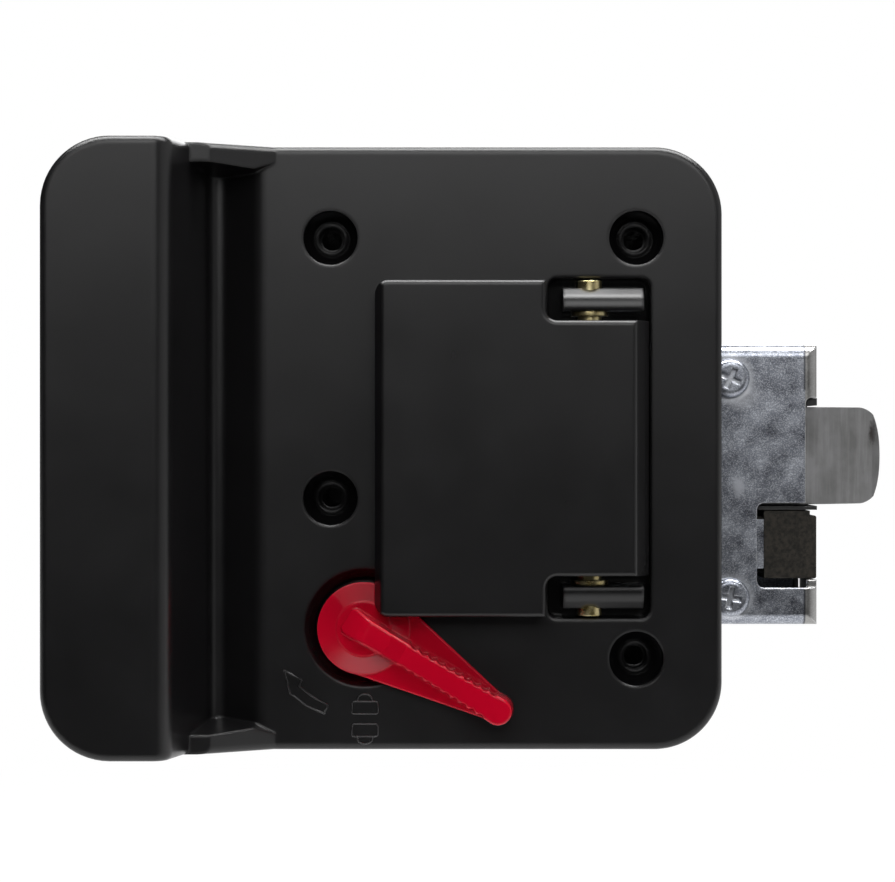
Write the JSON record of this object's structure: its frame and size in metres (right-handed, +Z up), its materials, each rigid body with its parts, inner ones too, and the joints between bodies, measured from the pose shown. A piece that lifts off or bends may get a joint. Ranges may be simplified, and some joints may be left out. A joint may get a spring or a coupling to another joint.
{
  "type": "travel trailer door lock",
  "caption": "Flush entry door lock for a travel trailer: inner pull bezel with paddle and lever, slam latch with separate deadbolt, outer handle with key plugs.",
  "frame": {"origin": "centre of the door cut-out on the inner door skin, in the plane of the inner bezel's back face", "axes": "+X to the door edge that the bolts leave, +Y from the inside of the door to the outside, +Z up"},
  "size_m": [0.1679, 0.0851, 0.1208],
  "materials": {
    "bezel_black": "satin moulded black with a faint grain",
    "paddle_black": "satin moulded black",
    "lever_red": "glossy moulded red",
    "yellow_zinc": "yellow zinc plate, knurled at the outer ends",
    "spring_steel": "bare spring steel",
    "zinc_steel": "zinc plate with a mottled spangle",
    "insert_black": "moulded black guide",
    "cast_grey": "tumbled grey casting",
    "deadbolt_black": "black oxide with a brown speckle",
    "housing_black": "black powder coat on a casting",
    "gasket_rubber": "closed-cell foam rubber",
    "chrome_trim": "bright plated",
    "plug_brass": "machined key plug"
  },
  "bodies": {
    "frame": {"inner_bezel": "bezel_black", "paddle_hinge_pins": "yellow_zinc", "paddle_spring": "spring_steel", "case_side_plate": "zinc_steel", "case_back_plate": "zinc_steel", "case_insert": "insert_black", "case_spacers": "zinc_steel", "case_screws": "zinc_steel", "case_spring_stop": "zinc_steel", "case_mount_screws": "zinc_steel", "latch_spring": "spring_steel", "outer_housing": "housing_black", "mount_posts": "cast_grey", "outer_gasket": "gasket_rubber", "outer_handle_pin": "yellow_zinc", "handle_cylinder": "chrome_trim", "deadbolt_cylinder": "chrome_trim"},
    "inner_paddle": {"inner_paddle": "paddle_black"},
    "lever": {"lock_lever": "lever_red", "lever_crank": "zinc_steel", "lever_clip": "spring_steel"},
    "latch": {"latch_bolt": "cast_grey", "latch_slide": "zinc_steel", "latch_pin": "spring_steel"},
    "deadbolt": {"deadbolt": "deadbolt_black", "deadbolt_link": "zinc_steel", "deadbolt_rivets": "zinc_steel"},
    "outer_handle": {"outer_handle": "housing_black"},
    "handle_key": {"handle_key_plug": "plug_brass", "handle_lock_cam": "zinc_steel", "cam_screw": "zinc_steel"},
    "deadbolt_key": {"deadbolt_key_plug": "plug_brass"}
  },
  "joints": [
    {"name": "inner_paddle_hinge", "type": "hinge", "parent": "frame", "child": "inner_paddle", "pos_m": [0.0213, -0.008, 0], "axis": [0, 0, 1], "range_deg": [0, 29], "stiffness_Nm_per_rad": 0.05, "springref_deg": -17.19},
    {"name": "latch_slide", "type": "slide", "parent": "frame", "child": "latch", "axis": [-1, 0, 0], "range_m": [0, 0.01326], "stiffness_N_per_m": 60, "springref_m": -0.02, "deforming": ["latch_spring"]},
    {"name": "outer_handle_hinge", "type": "hinge", "parent": "frame", "child": "outer_handle", "pos_m": [0.0213, 0.0465, 0], "axis": [0, 0, 1], "range_deg": [-28.5, 0], "stiffness_Nm_per_rad": 0.05, "springref_deg": 17.19},
    {"name": "lock_lever_hinge", "type": "hinge", "parent": "frame", "child": "lever", "pos_m": [-0.0239, -0.009, -0.0359], "axis": [0, 1, 0], "range_deg": [0, 90]},
    {"name": "deadbolt_slide", "type": "slide", "parent": "frame", "child": "deadbolt", "axis": [1, 0, 0], "range_m": [0, 0.01256]},
    {"name": "deadbolt_key_turn", "type": "hinge", "parent": "frame", "child": "deadbolt_key", "pos_m": [-0.0239, 0.044, -0.0359], "axis": [0, 1, 0], "range_deg": [0, 90]},
    {"name": "handle_key_turn", "type": "hinge", "parent": "frame", "child": "handle_key", "pos_m": [0, 0.044, 0.033], "axis": [0, 1, 0], "range_deg": [-90, 0]}
  ],
  "couplings": [
    {"joint": "inner_paddle_hinge", "follows": "latch_slide", "rad_per_m": 38.17},
    {"joint": "outer_handle_hinge", "follows": "latch_slide", "rad_per_m": -37.5},
    {"joint": "lock_lever_hinge", "follows": "deadbolt_slide", "rad_per_m": 125},
    {"joint": "deadbolt_key_turn", "follows": "deadbolt_slide", "rad_per_m": 125}
  ]
}
